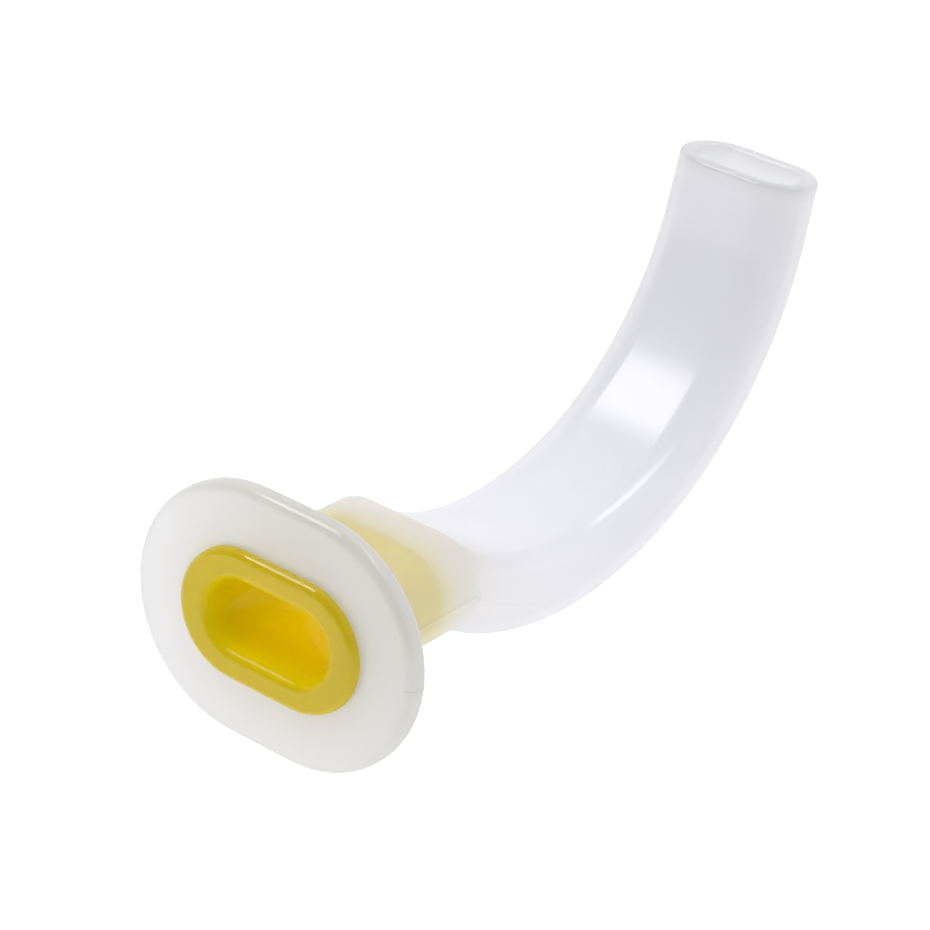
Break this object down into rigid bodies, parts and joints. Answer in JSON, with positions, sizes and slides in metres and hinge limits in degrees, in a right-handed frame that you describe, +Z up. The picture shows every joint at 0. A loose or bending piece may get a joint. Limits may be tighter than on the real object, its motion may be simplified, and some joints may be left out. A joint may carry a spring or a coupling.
{
  "type": "oropharyngeal airway",
  "caption": "Curved oropharyngeal airway: a stadium flange, a straight bite sleeve with a hard coloured insert, and a flattened hollow channel that curves up to an open tip.",
  "frame": {"origin": "centre of the bounding box's base, on the surface that the airway lies on", "axes": "+Y from the flange towards the tip, +Z up towards the open tip and the hollow side of the curve, +X across; the bite portion's axis is 2.54 degrees from Y, because the airway rests on the flange's lower edge and the channel's belly"},
  "size_m": [0.0376, 0.0956, 0.0438],
  "materials": {
    "translucent_polyethylene": "smooth satin moulding, milky and translucent",
    "yellow_insert_plastic": "smooth gloss moulding, slightly translucent"
  },
  "bodies": {
    "root": {"airway_body": "translucent_polyethylene", "bite_insert": "yellow_insert_plastic"}
  },
  "joints": []
}
